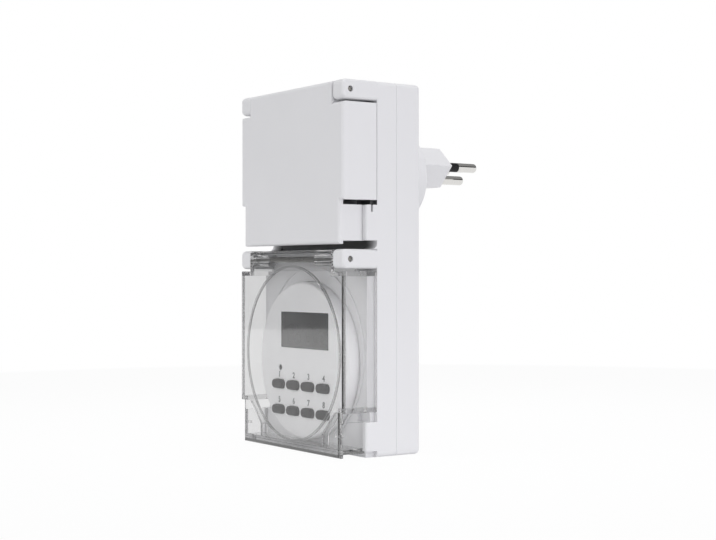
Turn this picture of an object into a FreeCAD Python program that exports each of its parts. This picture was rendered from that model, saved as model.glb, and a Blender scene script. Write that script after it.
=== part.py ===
import FreeCAD, Part
import math
import os
from collections import namedtuple

from FreeCAD import Vector

# Plug-in outdoor timer for a wall socket: a two-shell housing with a plug behind, a socket under an
# opaque hinged cover above, and a digital timer under a clear hinged cover below.
# Millimetres. X runs across the front, Y towards the wall and Z up. The pieces are drawn with the
# housing's back face at Y 0 and its base at Z 0, and are moved at the end so that the origin is the
# middle of the plug's end face, between the live and neutral pins.

# Housing
outline_radius = 2.0
shell_wall = 2.2
rear_shell_depth = 12.0
shoulder_depth = 21.5
platform_depth = 25.5
back_edge_radius = 1.6
seam_chamfer = 0.3
fit_gap = 0.2
seat_gap = 0.1
press_clearance = 0.02

# Covers
cover_depth = 38.0
cover_front_wall = 2.0
cover_side_wall = 1.8
cover_rest_gap = 0.25
cover_lip = 1.4
platform_gap = 0.4
narrow_inset = 2.75
section_gap = 2.0
base_clearance = 0.4
upper_platform_rise = 1.5
lower_cheek_bottom = 2.7
socket_narrow_height = 17.6
timer_narrow_height = 17.8
socket_slot = 1.9
timer_slot = 4.0
socket_cover_edge_radius = 1.5
timer_cover_edge_radius = 0.8

# Hinges
ear_width = 7.7
ear_height = 7.8
ear_radius = 2.0
ear_corner_radius = 1.2
ear_fillet = 2.5
ear_gap = 1.0
hinge_setback = 3.7
hinge_drop = 3.9
hinge_pin_radius = 1.2
hinge_pin_recess = 0.8
hinge_pin_chamfer = 0.4
knuckle_radius = 3.0
knuckle_length = 12.0
knuckle_clearance = 0.06
roof_wall = 1.6
roof_reach = 7.2
hood_reach = 8.4
neck_rise = 2.0

# Cheeks beside the covers' narrow lower parts
cheek_depth = 26.8
cheek_gap = 0.2
cheek_edge_radius = 1.0
cheek_notch_width = 1.0
cheek_notch_depth = 2.8
slot_pocket_depth = 6.0
slot_pocket_wall = 1.2

# Covers' inner ribs and the raised rim on the platform
ring_rib_width = 0.8
ring_rib_depth = 0.8
ring_base_gap = 4.2
ring_side_gap = 4.0
ring_head_gap = 6.8
rim_width = 0.9
rim_rise = 0.5
corner_rib_wall = 1.0
corner_rib_height = 2.8
corner_rib_top_inset = 3.85
corner_rib_foot_inset = 12.65
corner_rib_bend = 8.6
corner_web_height = 9.0
corner_web_wall = 1.0
corner_web_reach = 2.0

# Timer panel, its display and its board
panel_rise = 5.7
panel_wall = 1.4
panel_side_wall = 1.2
panel_edge_radius = 1.2
panel_flange_width = 1.6
panel_flange_wall = 1.4
panel_drop = 3.0
panel_ring_gap = 0.2
window_width = 36.6
window_height = 15.2
window_rise = 12.4
window_thickness = 1.4
display_x = 2.7
display_width = 38.0
display_height = 16.4
display_thickness = 2.0
display_frame_wall = 0.8
display_frame_gap = 0.41
connector_height = 1.8
connector_inset = 1.0
board_thickness = 1.6
control_board_gap = 1.0
control_board_setback = 5.6
boss_inset = 3.3
boss_radius = 1.9
panel_screw_radius = 0.9
panel_screw_length = 3.9
screw_head_radius = 1.7
screw_head_height = 1.2
processor_radius = 5.0
processor_thickness = 1.4
processor_x = 17.0
processor_drop = 13.2
battery_radius = 7.8
battery_thickness = 5.6
battery_fillet = 0.8
battery_x = 11.0
battery_rise = 14.8

# Keys
key_width = 8.7
key_height = 3.75
key_x = 0.3
key_spacing = 11.5
key_row_spacing = 10.8
key_rise = 1.4
key_edge_radius = 0.5
key_gap = 0.2
key_flange = 0.5
key_flange_wall = 0.8
key_travel = 1.0
upper_keys = ("day_key", "hour_key", "minute_key", "recall_key")
lower_keys = ("clock_key", "timer_key", "mode_key", "random_key")
mat_thickness = 0.8
mat_margin = 4.5
dome_radius = 1.8
dome_clearance = 0.15
reset_x = -16.2
reset_drop = 3.8
reset_radius = 1.1
reset_sink = 0.3
reset_travel = 0.6
reset_flange = 0.7

# Socket
tower_wall = 4.2
tower_step = 1.2
tower_foot_gap = 4.3
tower_head_gap = 14.2
tower_edge_radius = 1.2
socket_rise = 0.7
well_depth = 9.0
well_clearance = 0.6
socket_floor = 2.4
contact_bore_radius = 2.1
contact_wall = 0.7
contact_length = 14.6
contact_start_gap = 0.3
contact_strap_gap = 0.3
contact_clearance = 0.15
contact_slit = 1.0
contact_slit_length = 10.5
carrier_wall = 1.6
turret_wall = 1.25
snap_lug_rise = 0.9
snap_lug_width = 8.0
snap_lug_depth = 1.4

# Plug
line_rise = 6.0
plug_reach = 34.2
pin_spacing = 19.0
earth_drop = 5.0
pin_radius = 2.0
pin_length = 19.0
pin_tip_radius = 1.3
pin_root_radius = 1.8
pin_inner_end = 9.5
pin_tail = 0.5
sleeve_reach = 8.5
sleeve_wall = 0.4
pin_hole_clearance = 0.05
pin_relief_depth = 0.5
boss_margin = 0.4
boss_wall = 2.4
boss_drop = 5.2
boss_length = 19.8
boss_edge_radius = 0.6
plug_flange_wall = 4.0
hex_half_width = 17.7
hex_top = 8.0
hex_top_half = 8.6
hex_bottom = 9.0
hex_bottom_half = 9.2
hex_edge_radius = 0.5

# Power board and its wiring
power_board_side_gap = 11.0
power_board_head_gap = 9.0
power_board_bottom = 6.0
power_board_depth = 6.2
power_boss_side_inset = 4.0
power_boss_inset = 7.5
power_boss_radius = 3.0
power_screw_radius = 1.2
screw_hole_gap = 0.1
strap_thickness = 1.0
strap_width = 5.0
strap_overlap = 4.0
strap_margin = 2.5
switched_strap_x = 22.5
relay_width = 20.0
relay_height = 15.6
relay_depth = 15.0
relay_x = -14.0
relay_z = 53.8
relay_chamfer = 0.6
film_width = 22.0
film_height = 9.0
film_depth = 13.5
film_x = 11.0
film_z = 20.5
film_fillet = 1.0
smoothing_radius = 5.0
smoothing_length = 12.5
smoothing_x = -14.0
smoothing_z = 20.0
fuse_radius = 2.5
fuse_length = 20.0
fuse_x = 12.0
fuse_z = 36.0
header_pin_count = 6
header_pin_spacing = 2.54
header_pin_width = 0.7
header_height = 2.5
header_foot = 1.0
header_x = -5.65
header_z = 36.55

# Case screws
case_screw_inset = 6.2
case_screw_radius = 1.5
case_screw_length = 13.0
case_head_radius = 2.8
case_head_height = 2.2
case_head_recess = 6.0
case_boss_radius = 4.4

# Seal between the shells
seal_width = 0.8
seal_depth = 0.8

# Timer section, worked out from the display outwards
frame_half_width = display_width / 2.0 + seat_gap + display_frame_wall
frame_half_height = display_height / 2.0 + seat_gap + display_frame_wall
frame_corner_radius = math.hypot(display_x + frame_half_width, window_rise + frame_half_height)
panel_inner_radius = frame_corner_radius + display_frame_gap
panel_radius = panel_inner_radius + panel_side_wall
panel_flange_radius = panel_radius + panel_flange_width
control_board_radius = panel_inner_radius - control_board_gap
boss_circle = control_board_radius - boss_inset
ring_radius = panel_radius + panel_drop + panel_ring_gap
ring_height = ring_base_gap + ring_radius
panel_height = ring_height - panel_drop
window_middle = panel_height + window_rise
half = ring_radius + ring_side_gap
lower_section_top = ring_height + ring_radius + ring_head_gap

# Socket section, worked out from the plug's outline
socket_cover_bottom = lower_section_top + section_gap
upper_platform_bottom = socket_cover_bottom + upper_platform_rise
tower_radius = hex_half_width + well_clearance + tower_wall
tower_neck_radius = tower_radius - tower_step
tower_middle = upper_platform_bottom + tower_foot_gap + tower_radius
socket_middle = tower_middle + socket_rise
height = tower_middle + tower_radius + tower_head_gap
line_height = socket_middle + line_rise

# Other values that follow
panel_depth = platform_depth + panel_rise
platform_half = half - cover_side_wall - platform_gap
narrow_half = half - narrow_inset
hood_half = half - ear_width - platform_gap
axis_y = hinge_setback - cover_depth
cover_back = -shoulder_depth - cover_rest_gap
inner_front = cover_front_wall - cover_depth
panel_back = panel_wall - panel_depth
cavity_half = half - shell_wall
platform_inside = shell_wall - platform_depth
notch_back = -shoulder_depth - cheek_notch_width * 2
shoulder_inside = shell_wall - shoulder_depth
boss_middle = line_height - boss_drop
boss_outer_radius = math.hypot(hex_half_width, boss_drop) + boss_margin
strap_front = board_thickness - power_board_depth
contact_start = strap_front - contact_strap_gap - contact_length
contact_floor = contact_start - contact_start_gap
well_floor = contact_floor - socket_floor
socket_face = well_floor - well_depth
contact_radius = contact_bore_radius + contact_wall
turret_bore_radius = contact_radius + contact_clearance
turret_radius = turret_bore_radius + turret_wall
control_board_depth = panel_depth - control_board_setback
power_board_half = half - power_board_side_gap
power_board_top = lower_section_top - power_board_head_gap
control_board_back = board_thickness - control_board_depth
panel_shelf = panel_back + seat_gap
key_back = panel_shelf + key_flange_wall
flange_front = platform_inside + seat_gap
flange_back = flange_front + panel_flange_wall
tab_front = pin_inner_end + pin_tail
key_columns = [key_x + key_spacing * (column - 1.5) for column in range(4)]
key_rows = [panel_height - key_row_spacing * row for row in (1, 2)]
pin_places = {
    "live": (pin_spacing / 2.0, 0.0),
    "neutral": (-pin_spacing / 2.0, 0.0),
    "earth": (0.0, -earth_drop),
}
Cover = namedtuple("Cover", "section_top bottom step slot platform_bottom cheek_bottom notch edge_radius")
socket_cover = Cover(
    section_top=height,
    bottom=socket_cover_bottom,
    step=socket_cover_bottom + socket_narrow_height,
    slot=socket_slot,
    platform_bottom=upper_platform_bottom,
    cheek_bottom=upper_platform_bottom,
    notch=cheek_notch_depth,
    edge_radius=socket_cover_edge_radius,
)
timer_cover = Cover(
    section_top=lower_section_top,
    bottom=base_clearance,
    step=base_clearance + timer_narrow_height,
    slot=timer_slot,
    platform_bottom=0.0,
    cheek_bottom=lower_cheek_bottom,
    notch=0.0,
    edge_radius=timer_cover_edge_radius,
)


# Basic solids, each range a (low, high) pair

def box(x, y, z):
    return Part.makeBox(x[1] - x[0], y[1] - y[0], z[1] - z[0], Vector(x[0], y[0], z[0]))


def rod_y(radius, y, x, z):
    return Part.makeCylinder(radius, y[1] - y[0], Vector(x, y[0], z), Vector(0, 1, 0))


def rod_x(radius, x, y, z):
    return Part.makeCylinder(radius, x[1] - x[0], Vector(x[0], y, z), Vector(1, 0, 0))


def plate(points, y):
    outline = [Vector(px, y[0], pz) for px, pz in points]
    face = Part.Face(Part.makePolygon(outline + outline[:1]))
    return face.extrude(Vector(0, y[1] - y[0], 0))


def rounded_plate(x, y, z, radius):
    solid = box(x, y, z)
    corners = [edge for edge in solid.Edges if abs(edge.BoundBox.YLength - (y[1] - y[0])) < 1e-6]
    return solid.makeFillet(radius, corners)


def ring_y(outer, inner, y, x, z):
    return rod_y(outer, y, x, z).cut(rod_y(inner, y, x, z))


def both_sides(shape):
    return [shape, shape.mirror(Vector(0, 0, 0), Vector(1, 0, 0))]


def join(shapes):
    return shapes[0].fuse(shapes[1:]).removeSplitter()


def edges_at(shape, x=None, y=None, z=None):
    found = []
    for edge in shape.Edges:
        bounds = edge.BoundBox
        near_x = x is None or max(abs(abs(bounds.XMin) - x), abs(abs(bounds.XMax) - x)) < 1e-4
        near_y = y is None or max(abs(bounds.YMin - y), abs(bounds.YMax - y)) < 1e-4
        near_z = z is None or max(abs(bounds.ZMin - z), abs(bounds.ZMax - z)) < 1e-4
        if near_x and near_y and near_z:
            found.append(edge)
    return found


def axis_height(cover):
    return cover.section_top - hinge_drop


def wide_top(cover):
    return cover.section_top - ear_height - ear_gap


# Housing shells

def ears(cover):
    x = (half - ear_width, half)
    y = (-cover_depth, -shoulder_depth)
    z = (cover.section_top - ear_height, cover.section_top)
    ear = box(x, y, z)
    front_ends = [edge for edge in edges_at(ear, y=y[0]) if edge.BoundBox.XLength > 1]
    ear = ear.makeFillet(ear_radius, front_ends)
    sides = [edge for edge in edges_at(ear, y=y[0]) if edge.BoundBox.ZLength > 1]
    ear = ear.makeFillet(ear_corner_radius, sides)
    root = box(x, (y[1] - ear_fillet, y[1] + seam_chamfer), (z[1], z[1] + ear_fillet))
    root = root.cut(rod_x(ear_fillet, x, y[1] - ear_fillet, z[1] + ear_fillet))
    if z[1] + ear_fillet < height:
        ear = ear.fuse(root)
    hole_x = (x[0] - 1, x[1] + 1)
    hole = rod_x(hinge_pin_radius + press_clearance, hole_x, axis_y, axis_height(cover))
    return both_sides(ear.cut(hole))


def cheeks(cover):
    top = cover.step - cover.slot
    x = (narrow_half + cheek_gap, half)
    cheek = box(x, (-cheek_depth, -shoulder_depth), (cover.cheek_bottom, top))
    cheek = cheek.makeFillet(cheek_edge_radius, edges_at(cheek, x=half, y=-cheek_depth))
    if cover.notch:
        notch_z = (top - cover.notch, top + 1)
        cheek = cheek.cut(box((x[0] - 1, x[1] + 1), (notch_back - cheek_notch_width, notch_back), notch_z))
    return both_sides(cheek)


def slot_pockets(cover, wall, reach):
    x = (platform_half - slot_pocket_depth - wall, platform_half + reach)
    back = notch_back + wall
    foot = cover.step - cover.slot - wall
    slot = box(x, (-platform_depth - reach, back), (foot, cover.step + wall))
    if not cover.notch:
        return both_sides(slot)
    notch_y = (notch_back - cheek_notch_width - wall, back)
    return both_sides(slot.fuse(box(x, notch_y, (foot - cover.notch, foot + wall))))


def platform(cover):
    y = (-platform_depth, -shoulder_depth)
    wide = box((-platform_half, platform_half), y, (cover.platform_bottom, wide_top(cover) - cover_side_wall))
    neck = box((-hood_half, hood_half), y, (wide_top(cover) - cover_side_wall - 1, axis_height(cover) + neck_rise))
    return [wide, neck] + ears(cover) + cheeks(cover)


def case_screw_places():
    heights = (case_screw_inset, height - case_screw_inset)
    return [(side * (half - case_screw_inset), z) for z in heights for side in (-1, 1)]


def seal_groove(y):
    inset = (shell_wall - seal_width) / 2.0
    x = half - inset
    outer = rounded_plate((-x, x), y, (inset, height - inset), outline_radius)
    x = x - seal_width
    inset = inset + seal_width
    return outer.cut(rounded_plate((-x, x), y, (inset, height - inset), outline_radius / 2.0))


def front_housing():
    y = (-shoulder_depth, -rear_shell_depth)
    body = rounded_plate((-half, half), y, (0, height), outline_radius)
    body = body.makeChamfer(seam_chamfer, edges_at(body, y=y[1]))
    rim_y = (-platform_depth - rim_rise, -platform_depth)
    rim = ring_y(ring_radius + rim_width / 2.0, ring_radius - rim_width / 2.0, rim_y, 0, ring_height)
    body = join([body, rim] + platform(socket_cover) + platform(timer_cover))
    inside_z = (shell_wall, height - shell_wall)
    hollow = [box((-cavity_half, cavity_half), (shoulder_inside, y[1] + 1), inside_z)]
    for cover in (socket_cover, timer_cover):
        pocket_z = (cover.platform_bottom + shell_wall, wide_top(cover) - cover_side_wall - shell_wall)
        pocket_half = platform_half - shell_wall
        inside = box((-pocket_half, pocket_half), (platform_inside, shoulder_inside + 1), pocket_z)
        hollow.append(inside.cut(slot_pockets(cover, slot_pocket_wall, 0)))
        hollow.extend(slot_pockets(cover, 0, 1))
    through_wall = (-platform_depth - 1, platform_inside + 1)
    behind_wall = (platform_inside, shoulder_inside + 1)
    hollow.append(rod_y(panel_radius + fit_gap, through_wall, 0, panel_height))
    hollow.append(rod_y(tower_neck_radius + fit_gap, through_wall, 0, tower_middle))
    hollow.append(rod_y(panel_flange_radius + fit_gap, behind_wall, 0, panel_height))
    hollow.append(seal_groove((y[1] - seal_depth, y[1])))
    body = body.cut(hollow)
    pilot_y = (-case_head_recess - case_screw_length - fit_gap, y[1] + 1)
    posts = []
    pilots = []
    for x, z in case_screw_places():
        posts.append(rod_y(case_boss_radius, (shoulder_inside - 1, y[1]), x, z))
        pilots.append(rod_y(case_screw_radius + press_clearance, pilot_y, x, z))
    return join([body] + posts).cut(pilots)


def rear_housing():
    y = (-rear_shell_depth, 0)
    body = rounded_plate((-half, half), y, (0, height), outline_radius)
    body = body.makeChamfer(seam_chamfer, edges_at(body, y=y[0]))
    body = body.makeFillet(back_edge_radius, edges_at(body, y=0))
    inside_z = (shell_wall, height - shell_wall)
    body = body.cut(box((-cavity_half, cavity_half), (y[0] - 1, -shell_wall), inside_z))
    boss = rod_y(boss_outer_radius, (-shell_wall, boss_length), 0, boss_middle)
    boss = boss.makeFillet(boss_edge_radius, edges_at(boss, y=boss_length))
    additions = [boss]
    boss_inside = (-shell_wall - 1, boss_length + 1)
    cuts = [rod_y(boss_outer_radius - boss_wall, boss_inside, 0, boss_middle)]
    head_seat = -case_head_recess
    for x, z in case_screw_places():
        additions.append(rod_y(case_boss_radius, (y[0], -shell_wall / 2.0), x, z))
        cuts.append(rod_y(case_screw_radius + fit_gap, (y[0] - 1, 1), x, z))
        cuts.append(rod_y(case_head_radius + fit_gap, (head_seat, 1), x, z))
    for x, z in power_boss_places():
        additions.append(rod_y(power_boss_radius, (strap_front, -shell_wall / 2.0), x, z))
        cuts.append(rod_y(power_screw_radius + press_clearance, (strap_front - 1, -shell_wall), x, z))
    cuts.append(seal_groove((y[0], y[0] + seal_depth)))
    return join([body] + additions).cut(cuts)


def housing_seal():
    y = (-rear_shell_depth - seal_depth, -rear_shell_depth + seal_depth)
    return seal_groove(y)


def case_screws():
    solids = []
    seat = -case_head_recess
    for x, z in case_screw_places():
        head = rod_y(case_head_radius, (seat, seat + case_head_height), x, z)
        solids.append(head.fuse(rod_y(case_screw_radius, (seat - case_screw_length, seat), x, z)))
    return solids


# Hinged covers

def hood(cover):
    top = axis_height(cover) + hinge_setback
    foot = wide_top(cover) - cover_side_wall
    outline = [(-cover_depth, foot), (-cover_depth, top), (axis_y + roof_reach, top),
               (axis_y + hood_reach, axis_height(cover)), (axis_y + hood_reach, foot)]
    points = [Vector(-hood_half, y, z) for y, z in outline]
    face = Part.Face(Part.makePolygon(points + points[:1]))
    block = face.extrude(Vector(2 * hood_half, 0, 0))
    block = block.makeFillet(cover.edge_radius, edges_at(block, y=-cover_depth, z=top))
    inside_half = hood_half - cover_side_wall
    inside_y = (inner_front, axis_y + hood_reach + 1)
    inside = box((-inside_half, inside_half), inside_y, (foot - 1, top - roof_wall))
    return block.cut(inside)


def knuckles(cover):
    x = (hood_half - cover_side_wall - knuckle_length, hood_half)
    knuckle = rod_x(knuckle_radius, x, axis_y, axis_height(cover))
    return both_sides(knuckle)


def wide_box(cover):
    top = wide_top(cover)
    inside = half - cover_side_wall
    hood_inside = hood_half - cover_side_wall
    behind_front = (inner_front, cover_back + 1)
    behind_hood = (axis_y + hood_reach, cover_back + 1)
    ledge = (top - cover_side_wall - 1, top + 1)
    solid = box((-half, half), (-cover_depth, cover_back), (cover.step, top))
    solid = solid.makeFillet(cover.edge_radius, edges_at(solid, x=half, y=-cover_depth))
    hollow = box((-inside, inside), behind_front, (cover.step + cover_side_wall, top - cover_side_wall))
    over_ledge = box((-inside, inside), behind_hood, ledge)
    under_hood = box((-hood_inside, hood_inside), behind_front, ledge)
    return solid.cut([hollow, over_ledge, under_hood])


def neck_top(cover):
    return cover.step + cover_side_wall + 2 * cover.edge_radius


def narrow_box(cover):
    top = neck_top(cover)
    back = -platform_depth - platform_gap
    inside = narrow_half - cover_side_wall
    floor = cover.bottom + cover_lip
    behind_front = (inner_front, back + 1)
    solid = box((-narrow_half, narrow_half), (-cover_depth, back), (cover.bottom, top))
    solid = solid.makeFillet(cover.edge_radius, edges_at(solid, x=narrow_half, y=-cover_depth))
    hollow = box((-inside, inside), behind_front, (floor + cover_side_wall, top + 1))
    under_floor = box((-half, half), behind_front, (cover.bottom - 1, floor))
    slot = box((inside - 1, half), behind_front, (cover.step - cover.slot, cover.step))
    return solid.cut([hollow, under_floor] + both_sides(slot))


def cover_box(cover):
    top = cover.step + cover_side_wall
    inside = narrow_half - cover_side_wall
    passage = box((-inside, inside), (inner_front, cover_back + 1), (cover.step - 1, top + 1))
    narrow_back = -platform_depth - platform_gap
    wide_inside = half - cover_side_wall
    behind_step = box((-wide_inside, wide_inside), (narrow_back, cover_back + 1), (cover.step - 1, top + 1))
    above_step = box((-wide_inside, wide_inside), (inner_front, cover_back + 1), (top, neck_top(cover) + 1))
    return wide_box(cover).fuse(narrow_box(cover)).cut([passage, behind_step, above_step])


def corner_ribs(cover):
    bend = cover.bottom + corner_rib_bend
    foot = cover.bottom + cover_lip + cover_side_wall / 2.0
    top_x = narrow_half - corner_rib_top_inset
    foot_x = narrow_half - corner_rib_foot_inset
    outer = [(top_x, cover.step), (foot_x, bend), (foot_x, foot)]
    inner = [(x - corner_rib_wall, z) for x, z in reversed(outer)]
    rib = plate(outer + inner, (inner_front - cover_front_wall / 2.0, inner_front + corner_rib_height))
    return both_sides(rib)


def corner_webs(cover):
    inside = narrow_half - cover_side_wall
    z = (cover.bottom + corner_web_height - corner_web_wall, cover.bottom + corner_web_height)
    x = (inside - corner_web_reach, inside + cover_side_wall / 2.0)
    web = box(x, (inner_front - cover_front_wall / 2.0, inner_front + corner_web_wall), z)
    return both_sides(web)


def hinged_cover(cover, with_ring):
    parts = [cover_box(cover), hood(cover)] + knuckles(cover) + corner_ribs(cover) + corner_webs(cover)
    if with_ring:
        rib_y = (inner_front - cover_front_wall / 2.0, inner_front + ring_rib_depth)
        inner = ring_radius - ring_rib_width / 2.0
        parts.append(ring_y(inner + ring_rib_width, inner, rib_y, 0, ring_height))
    bore = rod_x(hinge_pin_radius + knuckle_clearance, (-half, half), axis_y, axis_height(cover))
    return join(parts).cut(bore)


def hinge_pin(cover):
    reach = half - hinge_pin_recess
    pin = rod_x(hinge_pin_radius, (-reach, reach), axis_y, axis_height(cover))
    return pin.makeChamfer(hinge_pin_chamfer, edges_at(pin, x=reach))


# Plug

def hex_points(middle, clearance):
    top = middle + hex_top + clearance
    bottom = middle - hex_bottom - clearance
    side = hex_half_width + clearance
    bottom_half = hex_bottom_half + clearance / 2.0
    top_half = hex_top_half + clearance / 2.0
    right = [(bottom_half, bottom), (side, middle), (top_half, top)]
    return right + [(-x, z) for x, z in reversed(right)]


def plug_body():
    flange_start = boss_length - plug_flange_wall
    prism = plate(hex_points(line_height, 0), (flange_start, plug_reach))
    long_edges = [edge for edge in prism.Edges if edge.BoundBox.YLength > 1]
    prism = prism.makeFillet(hex_edge_radius, long_edges)
    prism = prism.makeChamfer(hex_edge_radius / 2.0, edges_at(prism, y=plug_reach))
    flange_radius = boss_outer_radius - boss_wall - seat_gap
    flange = rod_y(flange_radius, (flange_start, boss_length), 0, boss_middle)
    limit = rod_y(flange_radius, (flange_start - 1, boss_length), 0, boss_middle)
    root = prism.common(limit)
    free = prism.cut(box((-half, half), (flange_start - 1, boss_length), (0, height)))
    body = join([flange, root, free])
    holes = []
    for name, (x, drop) in pin_places.items():
        z = line_height + drop
        relief_y = (plug_reach - pin_relief_depth, plug_reach + 1)
        holes.append(rod_y(pin_root_radius + pin_hole_clearance, (flange_start - 1, plug_reach + 1), x, z))
        holes.append(rod_y(pin_radius + pin_hole_clearance, relief_y, x, z))
    return body.cut(holes)


def plug_pin(name):
    x, drop = pin_places[name]
    z = line_height + drop
    tip = plug_reach + pin_length
    free_end = rod_y(pin_radius, (plug_reach, tip), x, z)
    free_end = free_end.makeFillet(pin_tip_radius, edges_at(free_end, y=tip))
    if name != "earth":
        sleeve_y = (plug_reach, plug_reach + sleeve_reach)
        free_end = free_end.cut(ring_y(pin_radius + 1, pin_radius - sleeve_wall, sleeve_y, x, z))
    return join([free_end, rod_y(pin_root_radius, (pin_inner_end, plug_reach), x, z)])


def pin_sleeve(name):
    x, drop = pin_places[name]
    sleeve_y = (plug_reach, plug_reach + sleeve_reach)
    return ring_y(pin_radius, pin_radius - sleeve_wall + press_clearance, sleeve_y, x, line_height + drop)


# Socket

def socket_insert():
    face_y = (socket_face, -platform_depth)
    tower = rod_y(tower_radius, face_y, 0, tower_middle)
    tower = tower.makeFillet(tower_edge_radius, edges_at(tower, y=socket_face))
    neck = rod_y(tower_neck_radius, (-platform_depth, contact_floor), 0, tower_middle)
    lug_y = (platform_inside + seat_gap, platform_inside + seat_gap + snap_lug_depth)
    lug_ring = ring_y(tower_neck_radius + snap_lug_rise, tower_neck_radius - 1, lug_y, 0, tower_middle)
    lug_half = snap_lug_width / 2.0
    lug_reach = tower_neck_radius + snap_lug_rise + 1
    lug_z = (tower_middle - lug_half, tower_middle + lug_half)
    lugs = lug_ring.common(box((-lug_reach, lug_reach), lug_y, lug_z))
    cuts = [plate(hex_points(socket_middle, well_clearance), (socket_face - 1, well_floor))]
    for x, drop in pin_places.values():
        cuts.append(rod_y(contact_bore_radius, (well_floor - 1, contact_floor), x, socket_middle + drop))
    return join([tower, neck, lugs]).cut(cuts)


def contact_carrier():
    base_y = (contact_floor, contact_floor + carrier_wall)
    base = rod_y(tower_neck_radius - snap_lug_rise, base_y, 0, tower_middle)
    turrets = []
    bores = []
    for x, drop in pin_places.values():
        z = socket_middle + drop
        turrets.append(rod_y(turret_radius, (contact_floor, contact_floor + contact_length), x, z))
        bores.append(rod_y(turret_bore_radius, (contact_floor - 1, strap_front), x, z))
    return join([base] + turrets).cut(bores)


def contact(name):
    x, drop = pin_places[name]
    z = socket_middle + drop
    y = (contact_start, strap_front)
    tube = ring_y(contact_radius, contact_bore_radius, y, x, z)
    slit_x = (x - contact_slit / 2.0, x + contact_slit / 2.0)
    slit = box(slit_x, (y[0] - 1, y[0] + contact_slit_length), (z, z + contact_radius + 1))
    return tube.cut(slit)


# Wiring straps between the plug, the socket and the power board

def pin_strap(name, low):
    x, drop = pin_places[name]
    z = line_height + drop
    y = (tab_front, tab_front + strap_thickness)
    across = (x - strap_width / 2.0, x + strap_width / 2.0)
    tab = box(across, y, (low, z + pin_radius + 1))
    run = box(across, (strap_front, y[1]), (low, low + strap_thickness))
    hole = rod_y(pin_root_radius + pin_hole_clearance, (y[0] - 1, y[1] + 1), x, z)
    return tab.fuse(run).cut(hole)


def down_strap(x, top):
    y = (strap_front, strap_front + strap_thickness)
    across = (x - strap_width / 2.0, x + strap_width / 2.0)
    return box(across, y, (power_board_top - strap_overlap, top))


def live_strap():
    x = pin_places["live"][0]
    low = socket_middle - contact_radius - strap_margin - strap_width / 2.0
    return join([pin_strap("live", low), down_strap(x, low + strap_thickness)])


def neutral_strap():
    x = pin_places["neutral"][0]
    low = socket_middle - strap_thickness / 2.0
    return join([pin_strap("neutral", low), down_strap(x, low + strap_width / 2.0)])


def earth_strap():
    return pin_strap("earth", socket_middle - earth_drop - strap_thickness / 2.0).removeSplitter()


def switched_strap():
    x = pin_places["live"][0]
    y = (strap_front, strap_front + strap_thickness)
    across = box((x - strap_width / 2.0, switched_strap_x + strap_width / 2.0), y,
                 (socket_middle - strap_width / 2.0, socket_middle + strap_width / 2.0))
    return join([across, down_strap(switched_strap_x, socket_middle)])


# Power board and what stands on it

def power_boss_places():
    heights = (power_board_bottom + power_boss_inset, power_board_top - power_boss_inset)
    x = power_board_half - power_boss_side_inset
    return [(side * x, z) for z in heights for side in (-1, 1)]


def power_board():
    x = (-power_board_half, power_board_half)
    board = box(x, (-power_board_depth, strap_front), (power_board_bottom, power_board_top))
    hole_radius = power_screw_radius + screw_hole_gap
    holes = [rod_y(hole_radius, (-power_board_depth - 1, 0), px, pz) for px, pz in power_boss_places()]
    return board.cut(holes)


def power_board_screws():
    head_front = -power_board_depth - screw_head_height
    solids = []
    for x, z in power_boss_places():
        head = rod_y(power_screw_radius * 2, (head_front, -power_board_depth), x, z)
        shank = rod_y(power_screw_radius, (-power_board_depth, -shell_wall - seat_gap), x, z)
        solids.append(head.fuse(shank))
    return solids


def on_power_board(x, z, width, height, depth):
    y = (-power_board_depth - depth, -power_board_depth)
    return box((x - width / 2.0, x + width / 2.0), y, (z - height / 2.0, z + height / 2.0))


def relay():
    case = on_power_board(relay_x, relay_z, relay_width, relay_height, relay_depth)
    return case.makeChamfer(relay_chamfer, edges_at(case, y=-power_board_depth - relay_depth))


def film_capacitor():
    case = on_power_board(film_x, film_z, film_width, film_height, film_depth)
    return case.makeFillet(film_fillet, edges_at(case, y=-power_board_depth - film_depth))


def smoothing_capacitor():
    y = (-power_board_depth - smoothing_length, -power_board_depth)
    return rod_y(smoothing_radius, y, smoothing_x, smoothing_z)


def fuse():
    ends = (fuse_x - fuse_length / 2.0, fuse_x + fuse_length / 2.0)
    return rod_x(fuse_radius, ends, -power_board_depth - fuse_radius, fuse_z)


def board_header():
    first = header_x - header_pin_spacing * (header_pin_count - 1) / 2.0
    pins = []
    for pin in range(header_pin_count):
        x = first + header_pin_spacing * pin
        pins.append(on_power_board(x, header_z, header_pin_width, header_pin_width, header_foot))
    length = header_pin_spacing * header_pin_count / 2.0
    spacer_y = (control_board_back, -power_board_depth - header_foot)
    spacer_z = (header_z - header_height / 2.0, header_z + header_height / 2.0)
    return join([box((header_x - length, header_x + length), spacer_y, spacer_z)] + pins)


# Timer panel and what it holds

def boss_places():
    return [(boss_circle, panel_height), (-boss_circle, panel_height),
            (0, panel_height + boss_circle), (0, panel_height - boss_circle)]


def oval(grow, y, x, z):
    half_x = key_width / 2.0 + grow
    half_z = key_height / 2.0 + grow
    return rounded_plate((x - half_x, x + half_x), y, (z - half_z, z + half_z), half_z * 0.98)


def key_places():
    return [(x, z) for z in key_rows for x in key_columns]


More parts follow.
